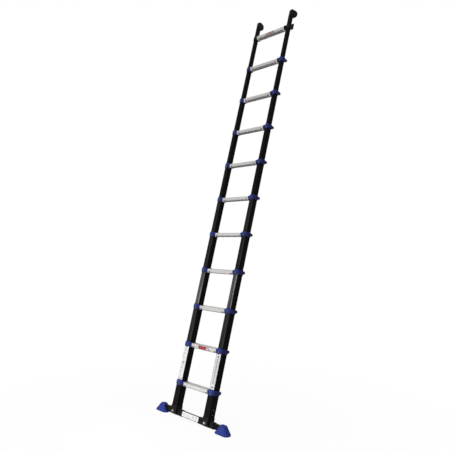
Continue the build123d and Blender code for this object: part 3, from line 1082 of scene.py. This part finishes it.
class LADDER_OT_label_print(bpy.types.Operator):
    """Print plain grey marks on the labels, in place of any words"""

    bl_idname = "ladder.label_print"
    bl_label = "Label print"

    def mark(self, sizes, x, z, width, height):
        """A grey bar on a label's front, about a place from the label's middle."""
        corner = sizes.print_rounding * min(width, height)
        return start_plate("mark", width, height, corner, sizes.print_thickness, (x, 0, z))

    def box(self, sizes, x, z, width, height):
        """A grey frame on a label's front, about a place from the label's middle."""
        return start_plate("mark", width, height, 0, sizes.print_thickness, (x, 0, z), sizes.print_line)

    def left_print(self, sizes, width, height):
        """A loose column of short lines, a sign half-way up and a bar at the bottom."""
        line = sizes.print_line
        column = 0.86 * height
        pitch = column / sizes.print_rows
        top = (column - pitch) / 2
        long_place, long_line = -0.2 * width, 0.26 * width
        short_place, short_line = 0.12 * width, 0.16 * width
        row = [self.mark(sizes, long_place, top + rise, long_line, line) for rise in (0, 2.4 * line)]
        row.append(self.mark(sizes, short_place, top, short_line, line))
        lines = join("stile_print", row)
        repeat(lines, sizes.print_rows, (0, 0, -pitch))
        sign_width, sign_height = 0.36 * width, 0.05 * height
        sign = self.mark(sizes, -0.04 * width, 0.012 * height, sign_width, sign_height)
        bar_width, bar_height = 0.7 * width, 2 * line
        bar = self.mark(sizes, 0, -0.46 * height, bar_width, bar_height)
        return join("stile_print", [lines, sign, bar])

    def right_print(self, sizes, width, height):
        """Long lines at both sides of a close column of framed signs, and bigger signs at both ends."""
        rows = 2 * sizes.print_rows
        column = 0.72 * height
        pitch = column / rows
        top = (column - pitch) / 2
        box_width, box_height = 0.36 * width, 0.7 * pitch
        dot_width, dot_height = 0.14 * width, 0.2 * pitch
        row = [
            self.box(sizes, 0, top, box_width, box_height),
            self.mark(sizes, 0, top, dot_width, dot_height),
        ]
        boxes = join("stile_print", row)
        repeat(boxes, rows, (0, 0, -pitch))
        edge_place, edge_rise, edge_length = 0.36 * width, -0.03 * height, 0.86 * height
        edges = [
            self.mark(sizes, place_across, edge_rise, sizes.print_line, edge_length)
            for place_across in (-edge_place, edge_place)
        ]
        sign_width, sign_height = 0.4 * width, 0.05 * height
        signs = [
            self.mark(sizes, 0.02 * width, rise, sign_width, sign_height)
            for rise in (-0.44 * height, 0.41 * height)
        ]
        return join("stile_print", [boxes, *edges, *signs])

    def bar_print(self, sizes, width, height):
        """Lines at the left and in the middle, a framed sign and a ring at the right, and an edge line."""
        line = sizes.print_line
        edge_width, text_width = 0.96 * width, 0.2 * width
        marks = [self.mark(sizes, 0, -0.45 * height, edge_width, 0.5 * line)]
        left, middle = -0.36 * width, -0.06 * width
        for left_rise, middle_rise in ((0.2 * height, 0.1 * height), (-0.1 * height, -0.15 * height)):
            marks.append(self.mark(sizes, left, left_rise, text_width, 0.6 * line))
            marks.append(self.mark(sizes, middle, middle_rise, text_width, 0.5 * line))
        sign_rise, sign_size = 0.02 * height, 0.4 * height
        marks.append(self.box(sizes, 0.16 * width, sign_rise, sign_size, sign_size))
        radius, depth = 0.27 * height, 2 * sizes.print_thickness
        ring_middle = (0.34 * width, 0, sign_rise)
        ring = start_rod("mark", radius, depth, facing_climber, ring_middle)
        cut(ring, start_rod("ring_hole", radius - line, 4 * depth, facing_climber, ring_middle))
        return join("bar_print", [*marks, ring])

    def execute(self, context):
        sizes = context.scene.ladder_sizes
        finish = label_finish("ladder_print", context.scene.ladder_colours.print)
        width, depth = tube_size(2, sizes)
        low, high = label_span(sizes)
        face = -depth / 2 - sizes.label_thickness
        for name, print_on in (("left", self.left_print), ("right", self.right_print)):
            piece = print_on(sizes, width - 2 * sizes.tube_corner, high - low)
            piece.name = f"stile_print_{name}"
            place(piece, ladder_point(sides[name] * sizes.stile_spacing / 2, face, (low + high) / 2))
            settle(piece, body_of["stile_tubes_02"], finish)
        piece = self.bar_print(sizes, sizes.bar_label_length, sizes.bar_height - 2 * sizes.bar_corner)
        place(piece, ladder_point(0, -sizes.bar_depth / 2 - sizes.label_thickness, sizes.bar_place))
        settle(piece, body_of["stabiliser_bar"], finish)
        return {"FINISHED"}


class LADDER_OT_badges(bpy.types.Operator):
    """Put the plain red badge on the second rung and the red stripes on the top rung"""

    bl_idname = "ladder.badges"
    bl_label = "Badges"

    def stripes(self, name, sizes, number, middle, proud):
        """A row of slanting stripes that face the climber, about a place along the rung."""
        first = middle - (sizes.stripe_pitch * (number - 1) + sizes.stripe_slant) / 2
        stripes = start_box(name, (sizes.stripe_width, 2 * proud, sizes.stripe_height), (first, 0, 0))
        edit_top(stripes)
        bpy.ops.transform.translate(value=(sizes.stripe_slant, 0, 0))
        stop_edit()
        repeat(stripes, number, (sizes.stripe_pitch, 0, 0))
        return stripes

    def on_rung(self, piece, section, sizes, finish):
        """Sets a piece on the middle of a rung's front."""
        place(piece, rung_point(section, 0, 1) - Vector((0, 0, sizes.badge_drop)), leaning=False)
        settle(piece, body_of[f"rung_{section:02d}"], finish)

    def execute(self, context):
        sizes = context.scene.ladder_sizes
        colours = context.scene.ladder_colours
        red = moulded_finish("ladder_badge", colours.badge, roughness=0.4, pit=0.0005)
        pale = label_finish("ladder_badge_stripes", colours.label)
        badge = start_plate(
            "rung_badge_02", sizes.badge_length, sizes.badge_height, sizes.label_corner,
            sizes.badge_sunk + sizes.badge_proud, (0, sizes.badge_sunk, 0),
        )
        round_edges(badge, sizes.badge_edge)
        self.on_rung(badge, 2, sizes, red)
        inlay = self.stripes(
            "badge_stripes_02", sizes, sizes.pale_stripe_count, sizes.pale_stripe_place,
            sizes.badge_proud + sizes.pale_stripe_proud,
        )
        self.on_rung(inlay, 2, sizes, pale)
        top = self.stripes(
            f"badge_stripes_{section_count:02d}", sizes, sizes.red_stripe_count, 0, sizes.red_stripe_proud
        )
        self.on_rung(top, section_count, sizes, red)
        return {"FINISHED"}


def seen_directly(tree):
    """1 for what the camera sees straight, in a reflection or through glass, and otherwise 0."""
    rays = add(tree, "LightPath").outputs
    mirrored = add(tree, "Math", {0: rays["Is Camera Ray"], 1: rays["Is Glossy Ray"]}, operation="MAXIMUM")
    either = {0: mirrored.outputs[0], 1: rays["Is Transmission Ray"]}
    return add(tree, "Math", either, operation="MAXIMUM").outputs[0]


def studio_world(stage):
    """White to the camera and in reflections, and a plain grey light from all round elsewhere."""
    world = bpy.data.worlds.new("studio")
    world.use_nodes = True
    tree = world.node_tree
    tree.nodes.clear()
    strength = spread(tree, seen_directly(tree), stage.ambient, 1.0, 0, 1)
    sky = add(tree, "Background", {"Color": (1, 1, 1, 1), "Strength": strength})
    add(tree, "OutputWorld", {"Surface": sky.outputs["Background"]})
    return world


def floor_finish(shade, radius):
    """A pale floor that keeps a faint shadow near the ladder and is lost in white further out."""
    finish, tree = new_finish("stage_floor")
    place_on_floor = add(tree, "TexCoord").outputs["Object"]
    distance = add(tree, "VectorMath", {0: place_on_floor}, operation="LENGTH").outputs["Value"]
    white_near, white_far = 0.95, 1
    fade_start, fade_end = 0.25 * radius, 0.7 * radius
    whiteness = spread(tree, distance, white_near, white_far, fade_start, fade_end)
    hidden = multiply(tree, whiteness, seen_directly(tree))
    white = add(tree, "Emission", {"Color": (1, 1, 1, 1), "Strength": 1.0}).outputs[0]
    set_shader(tree, {"Base Color": (*shade, 1), "Roughness": 0.9, "Specular IOR Level": 0.0})
    plain = tree.nodes["Principled BSDF"].outputs[0]
    mixed = add(tree, "MixShader", {0: hidden, 1: plain, 2: white})
    tree.links.new(mixed.outputs[0], tree.nodes["Material Output"].inputs["Surface"])
    return finish


def add_softbox(name, middle, aim, size, watts):
    """Adds a square soft light that shines at a point."""
    lamp = bpy.data.lights.new(name, "AREA")
    lamp.size = size
    lamp.energy = watts
    softbox = bpy.data.objects.new(name, lamp)
    softbox.location = middle
    softbox.rotation_euler = (Vector(aim) - Vector(middle)).to_track_quat("-Z", "Y").to_euler()
    bpy.context.scene.collection.objects.link(softbox)


class LADDER_OT_stage(bpy.types.Operator):
    """Set the floor, the light and the camera"""

    bl_idname = "ladder.stage"
    bl_label = "Stage"

    def execute(self, context):
        scene = context.scene
        stage = scene.ladder_stage
        floor = start(
            "floor", bpy.ops.mesh.primitive_circle_add,
            vertices=96, radius=stage.floor_radius, fill_type="NGON",
        )
        floor.data.materials.append(floor_finish(scene.ladder_colours.floor, stage.floor_radius))
        scene.world = studio_world(stage)
        aim = (cad_box[0] + cad_box[1]) / 2
        add_softbox("key_light", stage.key_place, aim, stage.key_size, stage.key_power)
        add_softbox("overhead_light", stage.overhead_place, aim, stage.overhead_size, stage.overhead_power)
        add_softbox("fill_light", stage.fill_place, stage.fill_aim, stage.fill_size, stage.fill_power)
        lens = bpy.data.cameras.new("camera")
        lens.lens = stage.camera_lens
        camera = bpy.data.objects.new("camera", lens)
        camera.location = stage.camera_place
        look = Vector(stage.camera_aim) - Vector(stage.camera_place)
        camera.rotation_euler = look.to_track_quat("-Z", "Y").to_euler()
        scene.collection.objects.link(camera)
        scene.camera = camera
        scene.view_settings.view_transform = "Standard"
        return {"FINISHED"}


piece_operators = (
    LADDER_OT_finishes,
    LADDER_OT_collar_screws,
    LADDER_OT_collar_shields,
    LADDER_OT_collar_grips,
    LADDER_OT_lock_grips,
    LADDER_OT_rung_pads,
    LADDER_OT_tread_teeth,
    LADDER_OT_feet,
    LADDER_OT_washers,
    LADDER_OT_rivets,
    LADDER_OT_hook_ribs,
    LADDER_OT_labels,
    LADDER_OT_label_print,
    LADDER_OT_badges,
    LADDER_OT_stage,
)


class LADDER_PT_panel(bpy.types.Panel):
    """Lists the steps that dress the ladder"""

    bl_idname = "LADDER_PT_panel"
    bl_label = "Telescopic ladder"
    bl_space_type = "VIEW_3D"
    bl_region_type = "UI"
    bl_category = "Ladder"

    def draw(self, context):
        for operator in piece_operators:
            self.layout.operator(operator.bl_idname)


classes = (LadderSizes, LadderColours, LadderStage, *piece_operators, LADDER_PT_panel)


def register():
    """Registers the classes and gives the scene its settings."""
    for item in classes:
        bpy.utils.register_class(item)
    bpy.types.Scene.ladder_sizes = PointerProperty(type=LadderSizes)
    bpy.types.Scene.ladder_colours = PointerProperty(type=LadderColours)
    bpy.types.Scene.ladder_stage = PointerProperty(type=LadderStage)


def unregister():
    """Takes the settings and the classes away again."""
    del bpy.types.Scene.ladder_stage
    del bpy.types.Scene.ladder_colours
    del bpy.types.Scene.ladder_sizes
    for item in reversed(classes):
        bpy.utils.unregister_class(item)


def main():
    """Registers the steps and dresses the ladder."""
    register()
    bpy.ops.ladder.finishes()
    bpy.ops.ladder.collar_screws()
    bpy.ops.ladder.collar_shields()
    bpy.ops.ladder.collar_grips()
    bpy.ops.ladder.lock_grips()
    bpy.ops.ladder.rung_pads()
    bpy.ops.ladder.tread_teeth()
    bpy.ops.ladder.feet()
    bpy.ops.ladder.washers()
    bpy.ops.ladder.rivets()
    bpy.ops.ladder.hook_ribs()
    bpy.ops.ladder.labels()
    bpy.ops.ladder.label_print()
    bpy.ops.ladder.badges()
    bpy.ops.ladder.stage()


if __name__ == "__main__":
    main()
